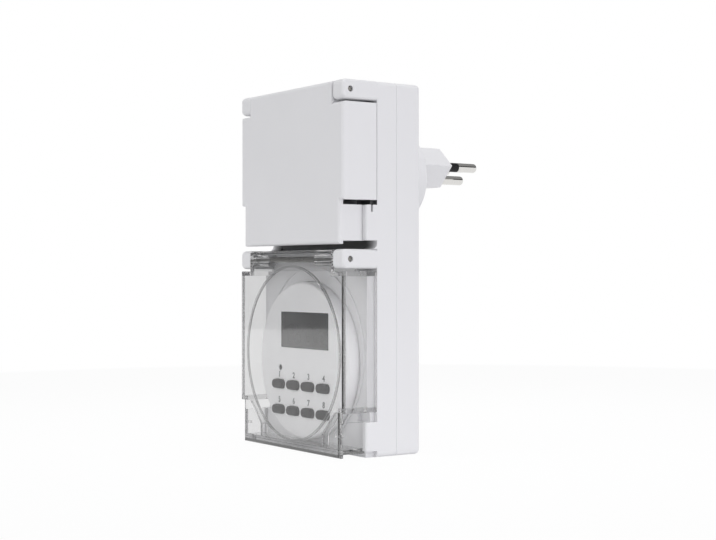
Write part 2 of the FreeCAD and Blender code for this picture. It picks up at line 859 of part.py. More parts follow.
def timer_panel():
    drum = rod_y(panel_radius, (-panel_depth, flange_back), 0, panel_height)
    drum = drum.makeFillet(panel_edge_radius, edges_at(drum, y=-panel_depth))
    flange = rod_y(panel_flange_radius, (flange_front, flange_back), 0, panel_height)
    inside = rod_y(panel_inner_radius, (panel_back, 0), 0, panel_height)
    body = join([drum, flange]).cut(inside)
    through = (-panel_depth - 1, panel_back + 1)
    window_x = (display_x - window_width / 2.0, display_x + window_width / 2.0)
    window_z = (window_middle - window_height / 2.0, window_middle + window_height / 2.0)
    bosses = []
    cuts = [box(window_x, through, window_z)]
    cuts.append(rod_y(reset_radius + key_gap, through, reset_x, panel_height - reset_drop))
    for x, z in key_places():
        cuts.append(oval(key_gap, through, x, z))
    for x, z in boss_places():
        bosses.append(rod_y(boss_radius, (panel_back, -control_board_depth), x, z))
        cuts.append(rod_y(panel_screw_radius + press_clearance, (panel_back, 0), x, z))
    return join([body] + bosses).cut(cuts)


def display_window():
    x = window_width / 2.0 - seat_gap
    z = window_height / 2.0 - seat_gap
    y = (-panel_depth, -panel_depth + window_thickness)
    return box((display_x - x, display_x + x), y, (window_middle - z, window_middle + z))


def display_glass():
    x = display_width / 2.0
    z = display_height / 2.0
    y = (panel_shelf, panel_shelf + display_thickness)
    return box((display_x - x, display_x + x), y, (window_middle - z, window_middle + z))


def display_frame():
    y = (panel_shelf, -control_board_depth)
    outer_x = (display_x - frame_half_width, display_x + frame_half_width)
    outer_z = (window_middle - frame_half_height, window_middle + frame_half_height)
    hole_x = (outer_x[0] + display_frame_wall, outer_x[1] - display_frame_wall)
    hole_z = (outer_z[0] + display_frame_wall, outer_z[1] - display_frame_wall)
    return box(outer_x, y, outer_z).cut(box(hole_x, (y[0] - 1, y[1] + 1), hole_z))


def display_connectors():
    y = (panel_shelf + display_thickness, -control_board_depth)
    x = display_width / 2.0 - connector_inset
    z = display_height / 2.0 - connector_height
    strip = box((display_x - x, display_x + x), y, (window_middle + z, window_middle + z + connector_height))
    return [strip, strip.mirror(Vector(0, 0, window_middle), Vector(0, 0, 1))]


def control_board():
    board = rod_y(control_board_radius, (-control_board_depth, control_board_back), 0, panel_height)
    hole_radius = panel_screw_radius + screw_hole_gap
    holes = [rod_y(hole_radius, (-control_board_depth - 1, 0), x, z) for x, z in boss_places()]
    return board.cut(holes)


def control_board_screws():
    head_back = control_board_back + screw_head_height
    solids = []
    for x, z in boss_places():
        head = rod_y(screw_head_radius, (control_board_back, head_back), x, z)
        shank = rod_y(panel_screw_radius, (control_board_back - panel_screw_length, control_board_back), x, z)
        solids.append(head.fuse(shank))
    return solids


def processor():
    y = (control_board_back, control_board_back + processor_thickness)
    return rod_y(processor_radius, y, processor_x, panel_height - processor_drop)


def backup_battery():
    end = control_board_back + battery_thickness
    cell = rod_y(battery_radius, (control_board_back, end), battery_x, panel_height + battery_rise)
    return cell.makeFillet(battery_fillet, edges_at(cell, y=end))


def keypad_mat():
    base = -control_board_depth
    y = (base - mat_thickness, base)
    sheet = box((-half, half), y, (key_rows[1] - mat_margin, key_rows[0] + mat_margin))
    sheet = sheet.common(rod_y(panel_inner_radius - seat_gap, y, 0, panel_height))
    clear = [rod_y(boss_radius + seat_gap, (y[0] - 1, base + 1), x, z) for x, z in boss_places()]
    dome_top = key_back + key_travel + dome_clearance
    domes = [rod_y(dome_radius, (dome_top, base), x, z) for x, z in key_places()]
    return join([sheet] + domes).cut(clear)


def key(x, z):
    front = -panel_depth - key_rise
    cap = oval(0, (front, panel_shelf), x, z)
    cap = cap.makeFillet(key_edge_radius, edges_at(cap, y=front))
    flange_y = (panel_shelf, key_back)
    flange = oval(key_gap + key_flange, flange_y, x, z)
    flange = flange.common(rod_y(panel_inner_radius - key_gap, flange_y, 0, panel_height))
    return join([cap, flange])


def reset_plunger():
    z = panel_height - reset_drop
    stem_y = (-panel_depth + reset_sink, -control_board_depth - reset_travel - dome_clearance)
    stem = rod_y(reset_radius, stem_y, reset_x, z)
    flange = rod_y(reset_radius + key_gap + reset_flange, (panel_shelf, key_back), reset_x, z)
    return join([stem, flange])


# Every node by name

def nodes():
    made = {
        "front_housing": front_housing(),
        "rear_housing": rear_housing(),
        "housing_seal": housing_seal(),
        "case_screws": case_screws(),
        "socket_cover": hinged_cover(socket_cover, False),
        "timer_cover": hinged_cover(timer_cover, True),
        "socket_hinge_pin": hinge_pin(socket_cover),
        "timer_hinge_pin": hinge_pin(timer_cover),
        "plug_body": plug_body(),
        "live_pin_sleeve": pin_sleeve("live"),
        "neutral_pin_sleeve": pin_sleeve("neutral"),
        "socket_insert": socket_insert(),
        "contact_carrier": contact_carrier(),
        "live_strap": live_strap(),
        "neutral_strap": neutral_strap(),
        "earth_strap": earth_strap(),
        "switched_strap": switched_strap(),
        "power_board": power_board(),
        "power_board_screws": power_board_screws(),
        "relay": relay(),
        "film_capacitor": film_capacitor(),
        "smoothing_capacitor": smoothing_capacitor(),
        "fuse": fuse(),
        "board_header": board_header(),
        "timer_panel": timer_panel(),
        "display_window": display_window(),
        "display_glass": display_glass(),
        "display_frame": display_frame(),
        "display_connectors": display_connectors(),
        "control_board": control_board(),
        "control_board_screws": control_board_screws(),
        "processor": processor(),
        "backup_battery": backup_battery(),
        "keypad_mat": keypad_mat(),
        "reset_plunger": reset_plunger(),
    }
    for name in pin_places:
        made[name + "_pin"] = plug_pin(name)
        made[name + "_contact"] = contact(name)
    for name, (x, z) in zip(upper_keys + lower_keys, key_places()):
        made[name] = key(x, z)
    return made


to_plug_face = Vector(0, -plug_reach, -line_height)
os.makedirs("parts", exist_ok=True)
for node, made in nodes().items():
    shape = Part.makeCompound(made) if isinstance(made, list) else made
    shape.translate(to_plug_face)
    shape.exportStep("parts/" + node + ".step")
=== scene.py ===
import math

import bmesh
import bpy
from mathutils import Matrix, Vector


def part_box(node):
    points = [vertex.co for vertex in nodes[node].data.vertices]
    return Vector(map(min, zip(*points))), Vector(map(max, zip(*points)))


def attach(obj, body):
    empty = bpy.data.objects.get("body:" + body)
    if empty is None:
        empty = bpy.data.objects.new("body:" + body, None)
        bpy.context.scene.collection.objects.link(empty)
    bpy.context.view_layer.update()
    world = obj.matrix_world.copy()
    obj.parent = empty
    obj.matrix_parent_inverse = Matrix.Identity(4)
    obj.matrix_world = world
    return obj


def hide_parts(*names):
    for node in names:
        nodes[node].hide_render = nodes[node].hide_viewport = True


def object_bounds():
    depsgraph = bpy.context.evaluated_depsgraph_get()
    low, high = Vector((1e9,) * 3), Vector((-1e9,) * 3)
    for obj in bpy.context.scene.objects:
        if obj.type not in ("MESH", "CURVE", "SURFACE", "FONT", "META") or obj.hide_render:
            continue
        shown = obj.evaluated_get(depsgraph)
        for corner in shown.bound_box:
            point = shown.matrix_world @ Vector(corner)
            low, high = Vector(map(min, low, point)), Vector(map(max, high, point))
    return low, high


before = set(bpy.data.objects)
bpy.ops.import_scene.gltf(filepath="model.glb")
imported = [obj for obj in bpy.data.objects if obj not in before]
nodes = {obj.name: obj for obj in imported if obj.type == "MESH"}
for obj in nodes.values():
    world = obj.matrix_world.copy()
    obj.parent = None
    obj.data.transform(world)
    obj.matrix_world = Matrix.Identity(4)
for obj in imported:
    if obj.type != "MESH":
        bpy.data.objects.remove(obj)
cad_box = [list(corner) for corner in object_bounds()]
scene = bpy.context.scene


# Camera
# The picture is taken from the right of the front, level with the middle of the timer, with a
# slightly long lens at about 0.6 m.

lens_mm = 71.6
frame_width_mm = 36.0
camera_place = (0.50364, -0.38233, -0.04637)
camera_turn = 55.607
camera_lift = 0.111

camera_data = bpy.data.cameras.new("camera")
camera_data.lens = lens_mm
camera_data.sensor_width = frame_width_mm
camera_data.clip_start = 0.02
camera = bpy.data.objects.new("camera", camera_data)
camera.location = camera_place
camera.rotation_euler = (math.radians(90.0 + camera_lift), 0.0, math.radians(camera_turn))
scene.collection.objects.link(camera)
scene.camera = camera
scene.view_settings.view_transform = "Standard"
scene.cycles.max_bounces = 32
scene.cycles.glossy_bounces = 24
scene.cycles.transmission_bounces = 24


# Studio
# White paper with soft lamps above, in front and at the right. Further out the paper is greyer, so that
# faces tilted down get less light. Glossy faces mirror a dark ceiling and a grey card at the left, and
# the white is a shade darker where it is seen through clear plastic.

white = (1.0, 1.0, 1.0, 1.0)
room_tint = (0.985, 0.985, 1.0, 1.0)
room_level = 0.66
ceiling_tones = ((0.20, 1.0), (0.30, 0.03), (0.50, 0.05), (0.62, 0.32), (0.86, 0.30), (0.96, 0.06))
through_tone = 0.77
floor_height = cad_box[0][2]
floor_radius = 1.6
floor_corners = 64
floor_lift = 0.95
shadow_radius = 0.30
white_radius = 0.55
paper_white = (0.97, 0.97, 0.975, 1.0)
paper_grey = (0.50, 0.50, 0.505, 1.0)
paper_roughness = 0.85
paper_near = 0.12
paper_far = 0.42
card_tone = 0.50
card_distance = 1.26
card_half_width = 0.55
card_height = 1.1
card_lift = 0.0005
card_aim_y = -0.0636
timer_middle = (0.0, -0.040, -0.045)


def grey(tone):
    return (tone, tone, tone, 1.0)


def shader_tree(datablock):
    datablock.use_nodes = True
    datablock.node_tree.nodes.clear()
    return datablock.node_tree


def node(tree, kind, **settings):
    made = tree.nodes.new("ShaderNode" + kind)
    for name, value in settings.items():
        setattr(made, name, value)
    return made


def feed(tree, socket, value):
    if isinstance(value, bpy.types.NodeSocket):
        tree.links.new(value, socket)
    else:
        socket.default_value = value


def math_node(tree, operation, first, second):
    made = node(tree, "Math", operation=operation)
    feed(tree, made.inputs[0], first)
    feed(tree, made.inputs[1], second)
    return made.outputs[0]


def mixed_colour(tree, share, first, second):
    made = node(tree, "Mix", data_type="RGBA")
    feed(tree, made.inputs[0], share)
    feed(tree, made.inputs[6], first)
    feed(tree, made.inputs[7], second)
    return made.outputs[2]


def mixed_shader(tree, share, first, second):
    made = node(tree, "MixShader")
    tree.links.new(share, made.inputs[0])
    tree.links.new(first, made.inputs[1])
    tree.links.new(second, made.inputs[2])
    return made.outputs[0]


def eased(tree, value, start, end):
    made = node(tree, "MapRange", interpolation_type="SMOOTHSTEP")
    made.inputs["From Min"].default_value = start
    made.inputs["From Max"].default_value = end
    tree.links.new(value, made.inputs["Value"])
    return made.outputs[0]


def seen_directly(tree):
    path = node(tree, "LightPath")
    glossy = math_node(tree, "MAXIMUM", path.outputs["Is Camera Ray"], path.outputs["Is Glossy Ray"])
    return math_node(tree, "MAXIMUM", glossy, path.outputs["Is Transmission Ray"])


def seen_through_clear(tree):
    path = node(tree, "LightPath")
    first_look = math_node(tree, "LESS_THAN", path.outputs["Diffuse Depth"], 0.5)
    return math_node(tree, "MULTIPLY", path.outputs["Is Transmission Ray"], first_look)


def show(tree, surface, kind="OutputMaterial"):
    output = node(tree, kind)
    tree.links.new(surface, output.inputs["Surface"])


world = bpy.data.worlds.new("studio")
scene.world = world
tree = shader_tree(world)
room = node(tree, "Background")
room.inputs["Color"].default_value = room_tint
room.inputs["Strength"].default_value = room_level
direction = node(tree, "TexCoord")
split = node(tree, "SeparateXYZ")
tree.links.new(direction.outputs["Generated"], split.inputs[0])
ceiling = node(tree, "ValToRGB")
stops = ceiling.color_ramp.elements
while len(stops) < len(ceiling_tones):
    stops.new(0.5)
for stop, (height, tone) in zip(stops, ceiling_tones):
    stop.position = height
    stop.color = grey(tone)
tree.links.new(split.outputs["Z"], ceiling.inputs[0])
path = node(tree, "LightPath")
around = mixed_colour(tree, path.outputs["Is Glossy Ray"], white, ceiling.outputs[0])
backdrop = node(tree, "Background")
backdrop.inputs["Strength"].default_value = 1.0
behind = mixed_colour(tree, seen_through_clear(tree), around, grey(through_tone))
feed(tree, backdrop.inputs["Color"], behind)
surface = mixed_shader(tree, seen_directly(tree), room.outputs[0], backdrop.outputs[0])
show(tree, surface, "OutputWorld")

floor_material = bpy.data.materials.new("white_sweep")
tree = shader_tree(floor_material)
place = node(tree, "NewGeometry")
length = node(tree, "VectorMath", operation="LENGTH")
tree.links.new(place.outputs["Position"], length.inputs[0])
distance = length.outputs["Value"]
paper = node(tree, "BsdfPrincipled")
paper.inputs["Roughness"].default_value = paper_roughness
further_out = eased(tree, distance, paper_near, paper_far)
feed(tree, paper.inputs["Base Color"], mixed_colour(tree, further_out, paper_white, paper_grey))
glow = node(tree, "Emission")
glow.inputs["Strength"].default_value = 1.0
behind = mixed_colour(tree, seen_through_clear(tree), white, grey(through_tone))
feed(tree, glow.inputs["Color"], behind)
lifted = math_node(tree, "MAXIMUM", eased(tree, distance, shadow_radius, white_radius), floor_lift)
share = math_node(tree, "MULTIPLY", lifted, seen_directly(tree))
show(tree, mixed_shader(tree, share, paper.outputs[0], glow.outputs[0]))


def flat_sheet(name, corners, material):
    mesh = bpy.data.meshes.new(name)
    mesh.from_pydata(corners, [], [tuple(range(len(corners)))])
    mesh.materials.append(material)
    sheet = bpy.data.objects.new(name, mesh)
    scene.collection.objects.link(sheet)
    return sheet


rim = []
for corner in range(floor_corners):
    turn = math.tau * corner / floor_corners
    rim.append((floor_radius * math.cos(turn), floor_radius * math.sin(turn), floor_height))
flat_sheet("floor", rim, floor_material)

card_material = bpy.data.materials.new("grey_card")
tree = shader_tree(card_material)
felt = node(tree, "BsdfPrincipled")
felt.inputs["Base Color"].default_value = grey(card_tone)
felt.inputs["Roughness"].default_value = 1.0
felt.inputs["Specular IOR Level"].default_value = 0.0
unseen = node(tree, "BsdfTransparent")
path = node(tree, "LightPath")
mirrored = math_node(tree, "GREATER_THAN", path.outputs["Glossy Depth"], 0.5)
show(tree, mixed_shader(tree, mirrored, unseen.outputs[0], felt.outputs[0]))

turn = math.radians(camera_turn)
towards = Vector((-math.sin(turn), -math.cos(turn), 0.0))
across = Vector((math.cos(turn), -math.sin(turn), 0.0)) * card_half_width
foot = towards * card_distance + Vector((0.0, card_aim_y, floor_height + card_lift))
top = foot + Vector((0.0, 0.0, card_height))
card = flat_sheet("grey_card", [foot - across, foot + across, top + across, top - across], card_material)
card.visible_diffuse = False
card.visible_shadow = False


def soft_lamp(name, place, size, power, colour):
    lamp_data = bpy.data.lights.new(name, "AREA")
    lamp_data.shape = "RECTANGLE"
    lamp_data.size = size
    lamp_data.size_y = size
    lamp_data.energy = power
    lamp_data.color = colour
    lamp = bpy.data.objects.new(name, lamp_data)
    lamp.location = place
    lamp.rotation_euler = (Vector(timer_middle) - Vector(place)).to_track_quat("-Z", "Y").to_euler()
    scene.collection.objects.link(lamp)


soft_lamp("right_lamp", (1.15, 0.05, 0.28), 0.9, 3.75, (0.965, 0.955, 1.0))
soft_lamp("front_lamp", (-0.35, -1.25, 0.55), 0.9, 3.0, (1.0, 1.0, 1.0))
soft_lamp("top_lamp", (0.1, -0.1, 1.25), 1.2, 4.6, (1.0, 1.0, 1.0))


# Housing shells
# The front and rear half of the box are injection moulded in white ABS and screwed together over
# a seal. Spark-eroded tools leave them a fine satin grain, and the melt leaves faint cloudy flow. Shade
# is painted into the front half's colour: it is darkened to near black in the gap between the covers
# and in the slots beside the socket cover, where shadow falls.

white_colour = (0.800, 0.800, 0.812, 1.0)
white_satin = 0.42
cloud_scale = 38.0
grain_scale = 2400.0
satin_swing = 0.1
# Near black that the masks mix into a colour: painted shade in the housing gap and slots and on the
# clear cover, and the darkened ends of the display pane.
deep_shade = (0.02, 0.02, 0.021, 1.0)
# Where the front half's colour is darkened as painted shade: the gap between the covers and the slot
# pockets.
gap_bottom = -0.0369
gap_top = -0.0334
gap_half = 0.0395
gap_fade = 0.0080
gap_painted_shade_strength = 0.90
shoulder_face = -0.0557
shoulder_margin = 0.0002
slot_bottom = -0.0194
slot_top = -0.0173
slot_front = -0.0620
slot_back = -0.0500
slot_inner = 0.0315
slot_outer = 0.0399
slot_painted_shade_strength = 0.92


def group_socket(group, name, kind, direction, value=None):
    socket = group.interface.new_socket(name=name, in_out=direction, socket_type="NodeSocket" + kind)
    if value is not None:
        socket.default_value = value


def surface_group(name, *inputs):
    group = bpy.data.node_groups.new(name, "ShaderNodeTree")
    for label, kind, value in inputs:
        group_socket(group, label, kind, "INPUT", value)
    group_socket(group, "Colour", "Color", "OUTPUT")
    group_socket(group, "Roughness", "Float", "OUTPUT")
    group_socket(group, "Height", "Float", "OUTPUT")
    given = group.nodes.new("NodeGroupInput")
    result = group.nodes.new("NodeGroupOutput")
    return group, given.outputs, result.inputs


def object_noise(tree, scale, detail):
    place = node(tree, "TexCoord")
    noise = node(tree, "TexNoise")
    noise.inputs["Scale"].default_value = scale
    noise.inputs["Detail"].default_value = detail
    tree.links.new(place.outputs["Object"], noise.inputs["Vector"])
    return noise.outputs["Fac"]


def scaled_colour(tree, colour, share):
    made = node(tree, "VectorMath", operation="SCALE")
    tree.links.new(colour, made.inputs[0])
    tree.links.new(share, made.inputs["Scale"])
    return made.outputs[0]


def mould_grain_group():
    group, given, result = surface_group(
        "mould_grain", ("Colour", "Color", (0.8, 0.8, 0.8, 1.0)), ("Cloud", "Float", 0.03),
        ("Satin", "Float", 0.4),
    )
    cloud = object_noise(group, cloud_scale, 3.0)
    grain = object_noise(group, grain_scale, 2.0)
    paler = math_node(group, "MULTIPLY", math_node(group, "SUBTRACT", cloud, 0.5), given["Cloud"])
    tinted = scaled_colour(group, given["Colour"], math_node(group, "ADD", paler, 1.0))
    swing = math_node(group, "SUBTRACT", math_node(group, "ADD", cloud, grain), 1.0)
    uneven = math_node(group, "MULTIPLY", swing, satin_swing)
    group.links.new(tinted, result["Colour"])
    group.links.new(math_node(group, "ADD", uneven, given["Satin"]), result["Roughness"])
    group.links.new(grain, result["Height"])
    return group


mould_grain = mould_grain_group()


def bumped(tree, height, depth, shader):
    bump = node(tree, "Bump")
    bump.inputs["Strength"].default_value = 1.0
    bump.inputs["Distance"].default_value = depth
    tree.links.new(height, bump.inputs["Height"])
    tree.links.new(bump.outputs["Normal"], shader.inputs["Normal"])


def textured_shader(tree, group, values, depth, shade=None):
    surface = node(tree, "Group", node_tree=group)
    for label, value in values.items():
        surface.inputs[label].default_value = value
    shader = node(tree, "BsdfPrincipled")
    tone = surface.outputs["Colour"]
    if shade:
        tone = mixed_colour(tree, shade(tree), tone, deep_shade)
    tree.links.new(tone, shader.inputs["Base Color"])
    tree.links.new(surface.outputs["Roughness"], shader.inputs["Roughness"])
    bumped(tree, surface.outputs["Height"], depth, shader)
    return shader


def moulded_plastic(name, colour, satin, cloud=0.03, grain_depth=0.000006, gleam=0.5, shade=None):
    material = bpy.data.materials.new(name)
    tree = shader_tree(material)
    values = {"Colour": colour, "Satin": satin, "Cloud": cloud}
    shader = textured_shader(tree, mould_grain, values, grain_depth, shade)
    shader.inputs["Specular IOR Level"].default_value = gleam
    show(tree, shader.outputs[0])
    return material


def finish_nodes(names, material):
    for name in names:
        slots = nodes[name].data.materials
        slots.clear()
        slots.append(material)


def product(tree, first, *others):
    for other in others:
        first = math_node(tree, "MULTIPLY", first, other)
    return first


def any_of(tree, first, *others):
    for other in others:
        first = math_node(tree, "MAXIMUM", first, other)
    return first


def above(tree, value, low):
    return math_node(tree, "GREATER_THAN", value, low)


def below(tree, value, high):
    return math_node(tree, "LESS_THAN", value, high)


def between(tree, value, low, high):
    return product(tree, above(tree, value, low), below(tree, value, high))


def places(tree):
    place = node(tree, "TexCoord")
    split = node(tree, "SeparateXYZ")
    tree.links.new(place.outputs["Object"], split.inputs[0])
    from_middle = math_node(tree, "ABSOLUTE", split.outputs["X"], 0.0)
    return from_middle, split.outputs["Y"], split.outputs["Z"]


# Painted shade on the front half: near black in the gap between the covers, lighter towards the gap's
# ends, and in the slot pockets beside the socket cover.
def gap_shade(tree):
    x, y, z = places(tree)
    to_end = math_node(tree, "SUBTRACT", gap_half, x)
    fading = math_node(tree, "DIVIDE", to_end, gap_fade)
    gap = product(
        tree, between(tree, z, gap_bottom, gap_top), below(tree, x, gap_half),
        below(tree, y, shoulder_face + shoulder_margin),
        math_node(tree, "MINIMUM", fading, gap_painted_shade_strength),
    )
    slot = product(
        tree, between(tree, z, slot_bottom, slot_top), between(tree, y, slot_front, slot_back),
        between(tree, x, slot_inner, slot_outer), slot_painted_shade_strength,
    )
    return any_of(tree, gap, slot)


white_plastic = moulded_plastic("white_plastic", white_colour, white_satin)
finish_nodes(["rear_housing"], white_plastic)
front_plastic_with_painted_shade = moulded_plastic("white_plastic_painted_gap_shade", white_colour, white_satin, shade=gap_shade)
finish_nodes(["front_housing"], front_plastic_with_painted_shade)


# Seal
# A black rubber cord lies in a groove between the two shells and keeps rain out of the seam.

seal_rubber = moulded_plastic("seal_rubber", (0.045, 0.045, 0.047, 1.0), 0.72, 0.25, 0.00001)
finish_nodes(["housing_seal"], seal_rubber)


# Case screws
# Four zinc-plated pan-head screws with a cross recess go in from behind, deep in their wells.

screw_radius = 0.0028
screw_head = 0.0022
screw_shank = 0.0015
screw_sides = 48
head_curve = ((0.0, 1.0), (0.45, 0.97), (0.75, 0.82), (0.93, 0.55), (1.0, 0.25), (1.0, 0.0))
recess_reach = 0.0017
recess_half = 0.00036
recess_depth = 0.0013
recess_taper = 0.55
cutter_rise = 0.0005
thread_turns = 11
thread_root = screw_shank * 0.78
thread_rise = 0.0004
thread_end_gap = 0.001
screw_turn = 17.0
smooth_angle = 35.0
zinc_colour = (0.62, 0.63, 0.66, 1.0)
metal_dimming = 0.86
shine_swing = 0.4


def spread(tree, value, low, high):
    made = node(tree, "MapRange")
    made.inputs["To Min"].default_value = low
    made.inputs["To Max"].default_value = high
    tree.links.new(value, made.inputs["Value"])
    return made.outputs[0]


def drawn_lines_group():
    group, given, result = surface_group(
        "drawn_lines", ("Colour", "Color", (0.7, 0.7, 0.7, 1.0)),
        ("Stretch", "Vector", (900.0, 900.0, 900.0)), ("Shine", "Float", 0.3),
    )
    place = node(group, "TexCoord")
    pulled = node(group, "Mapping")
    group.links.new(given["Stretch"], pulled.inputs["Scale"])
    group.links.new(place.outputs["Object"], pulled.inputs["Vector"])
    noise = node(group, "TexNoise")
    noise.inputs["Scale"].default_value = 1.0
    noise.inputs["Detail"].default_value = 3.0
    group.links.new(pulled.outputs[0], noise.inputs["Vector"])
    lines = noise.outputs["Fac"]
    uneven = spread(group, lines, 1.0 - shine_swing, 1.0 + shine_swing)
    tinted = scaled_colour(group, given["Colour"], spread(group, lines, metal_dimming, 1.0))
    group.links.new(tinted, result["Colour"])
    group.links.new(math_node(group, "MULTIPLY", uneven, given["Shine"]), result["Roughness"])
    group.links.new(lines, result["Height"])
    return group


drawn_lines = drawn_lines_group()


def brushed_metal(name, colour, shine, stretch, line_depth):
    material = bpy.data.materials.new(name)
    tree = shader_tree(material)
    values = {"Colour": colour, "Stretch": stretch, "Shine": shine}
    shader = textured_shader(tree, drawn_lines, values, line_depth)
    shader.inputs["Metallic"].default_value = 1.0
    show(tree, shader.outputs[0])
    return material


def mesh_piece(name, body):
    mesh = bpy.data.meshes.new(name)
    body.to_mesh(mesh)
    body.free()
    piece = bpy.data.objects.new(name, mesh)
    scene.collection.objects.link(piece)
    return piece


def ring_corners(body, reach, along):
    if reach == 0.0:
        return [body.verts.new((0.0, 0.0, along))]
    ring = []
    for side in range(screw_sides):
        turn = math.tau * side / screw_sides
        ring.append(body.verts.new((reach * math.cos(turn), reach * math.sin(turn), along)))
    return ring


def turned_solid(name, profile):
    body = bmesh.new()
    rings = [ring_corners(body, reach, along) for reach, along in profile]
    for low, high in zip(rings, rings[1:]):
        for side in range(screw_sides):
            after = (side + 1) % screw_sides
            if len(low) == 1:
                body.faces.new((low[0], high[after], high[side]))
            elif len(high) == 1:
                body.faces.new((low[side], low[after], high[0]))
            else:
                body.faces.new((low[side], low[after], high[after], high[side]))
    bmesh.ops.recalc_face_normals(body, faces=body.faces)
    return mesh_piece(name, body)


def cross_cutter(depth_from, depth_to):
    body = bmesh.new()
    for half_x, half_y in ((recess_reach, recess_half), (recess_half, recess_reach)):
        corners = []
        for z, share in ((depth_from, recess_taper), (depth_to, 1.0)):
            for x, y in ((-1, -1), (1, -1), (1, 1), (-1, 1)):
                corners.append(body.verts.new((x * half_x * share, y * half_y * share, z)))
        body.faces.new(corners[3::-1])
        body.faces.new(corners[4:])
        for side in range(4):
            after = (side + 1) % 4
            body.faces.new((corners[side], corners[after], corners[after + 4], corners[side + 4]))
    return mesh_piece("cross", body)


def cut_by(piece, cutter):
    modifier = piece.modifiers.new("cut", "BOOLEAN")
    modifier.operation = "DIFFERENCE"
    modifier.solver = "EXACT"
    modifier.object = cutter
    bpy.context.view_layer.update()
    settled = piece.evaluated_get(bpy.context.evaluated_depsgraph_get())
    result = bpy.data.meshes.new_from_object(settled)
    piece.modifiers.clear()
    piece.data = result
    bpy.data.objects.remove(cutter)


def smooth_by_angle(piece):
    piece.data.polygons.foreach_set("use_smooth", [True] * len(piece.data.polygons))
    body = bmesh.new()
    body.from_mesh(piece.data)
    for edge in body.edges:
        edge.smooth = len(edge.link_faces) == 2 and edge.calc_face_angle() < math.radians(smooth_angle)
    body.to_mesh(piece.data)
    body.free()


def screw_profile(length):
    profile = [(screw_radius * across, screw_head * up) for across, up in head_curve]
    profile.append((screw_shank, 0.0))
    for step in range(thread_turns):
        start = -thread_end_gap - step * (length - 2.0 * thread_end_gap) / thread_turns
        profile.append((thread_root, start))
        profile.append((screw_shank, start - thread_rise))
        profile.append((thread_root, start - 2.0 * thread_rise))
    return profile + [(0.0, -length)]


zinc_steel = brushed_metal("zinc_steel", zinc_colour, 0.30, (900.0, 900.0, 900.0), 0.000004)
low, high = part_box("case_screws")
screw_x = high.x - screw_radius
screw_heights = (low.z + screw_radius, high.z - screw_radius)
screw_line = screw_profile(high.y - low.y - screw_head)
number = 0
for x in (-screw_x, screw_x):
    for z in screw_heights:
        number += 1
        screw = turned_solid("case_screw_%d" % number, screw_line)
        cut_by(screw, cross_cutter(screw_head - recess_depth, screw_head + cutter_rise))
        smooth_by_angle(screw)
        turned = Matrix.Rotation(math.radians(screw_turn * number), 4, "Z")
        screw.data.transform(Matrix.Rotation(math.radians(-90.0), 4, "X") @ turned)
        screw.data.transform(Matrix.Translation((x, high.y - screw_head, z)))
        screw.data.materials.append(zinc_steel)
        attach(screw, "housing")
        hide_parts("case_screws")
finish_nodes(["case_screws", "power_board_screws", "control_board_screws"], zinc_steel)


# Socket cover
# One white moulding with a hood over its hinge. It closes over the socket and keeps rain off it.

finish_nodes(["socket_cover"], white_plastic)


# Hinge pins
# Drawn steel wire, pushed through the ears and the covers' knuckles.

pin_colour = (0.24, 0.235, 0.22, 1.0)
drawn_steel = brushed_metal("drawn_steel", pin_colour, 0.24, (120.0, 5200.0, 5200.0), 0.000003)
finish_nodes(["socket_hinge_pin", "timer_hinge_pin"], drawn_steel)


# Timer cover
# The clear cover is one glossy moulding with faint moulding ripples. Dark is painted into its colour on
# its ribs, ledges, rims, corners and lip, where clear plastic seen on edge looks dark, and painted shade
# darkens the hood over the hinge all over.

clear_colour = (0.985, 0.985, 0.987, 1.0)
clear_gloss = 0.03
clear_dimming = 0.97
gloss_swing = 0.5
acrylic_index = 1.49
ripple_depth = 0.0000015
ripple_scale = 70.0
front_wall = 0.0020
side_wall = 0.0018
corner_radius = 0.0008
wide_half = 0.0400
wide_rim = -0.05595
wide_end_depth = 0.0014
narrow_half = 0.03725
narrow_rim = -0.06010
step_height = -0.1018
ledge_height = -0.0457
hood_half = 0.0320
lip_height = 0.0014
ring_height = -0.0798
ring_inner = 0.0355
ring_outer = 0.0365
ring_depth = 0.0009
rib_depth = 0.0029
rib_root_depth = 0.0005
skin = 0.0001
# How strongly each mask darkens the clear cover's colour as painted shade.
painted_shade_strengths = {
    "ring": 0.54, "rib_root": 0.66, "rib": 0.15, "ledge": 0.30, "hood": 0.14, "corner": 0.66,
    "wide_rim": 0.12, "narrow_rim": 0.10, "wide_end": 0.60, "narrow_end": 0.20, "floor_side": 0.80,
    "floor_line": 0.50, "lip": 0.84,
}

cover_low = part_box("timer_cover")[0]
corner_end = cover_low.y + corner_radius
rib_front = cover_low.y + front_wall + skin / 2.0
inside_half = narrow_half - side_wall
floor_bottom = cover_low.z + lip_height
floor_top = floor_bottom + side_wall


def ring_shade(tree, x, y, z):
    around = node(tree, "CombineXYZ")
    tree.links.new(x, around.inputs["X"])
    tree.links.new(math_node(tree, "SUBTRACT", z, ring_height), around.inputs["Z"])
    reach = node(tree, "VectorMath", operation="LENGTH")
    tree.links.new(around.outputs[0], reach.inputs[0])
    return product(
        tree, between(tree, reach.outputs["Value"], ring_inner, ring_outer),
        between(tree, y, rib_front, rib_front + ring_depth), painted_shade_strengths["ring"],
    )


def rib_shade(tree, x, y, z):
    ribs = product(
        tree, between(tree, y, rib_front, rib_front + rib_depth), below(tree, x, inside_half - skin),
        between(tree, z, floor_top + skin, step_height - skin),
    )
    root = product(tree, ribs, below(tree, y, rib_front + rib_root_depth), painted_shade_strengths["rib_root"])
    return any_of(tree, root, product(tree, ribs, painted_shade_strengths["rib"]))


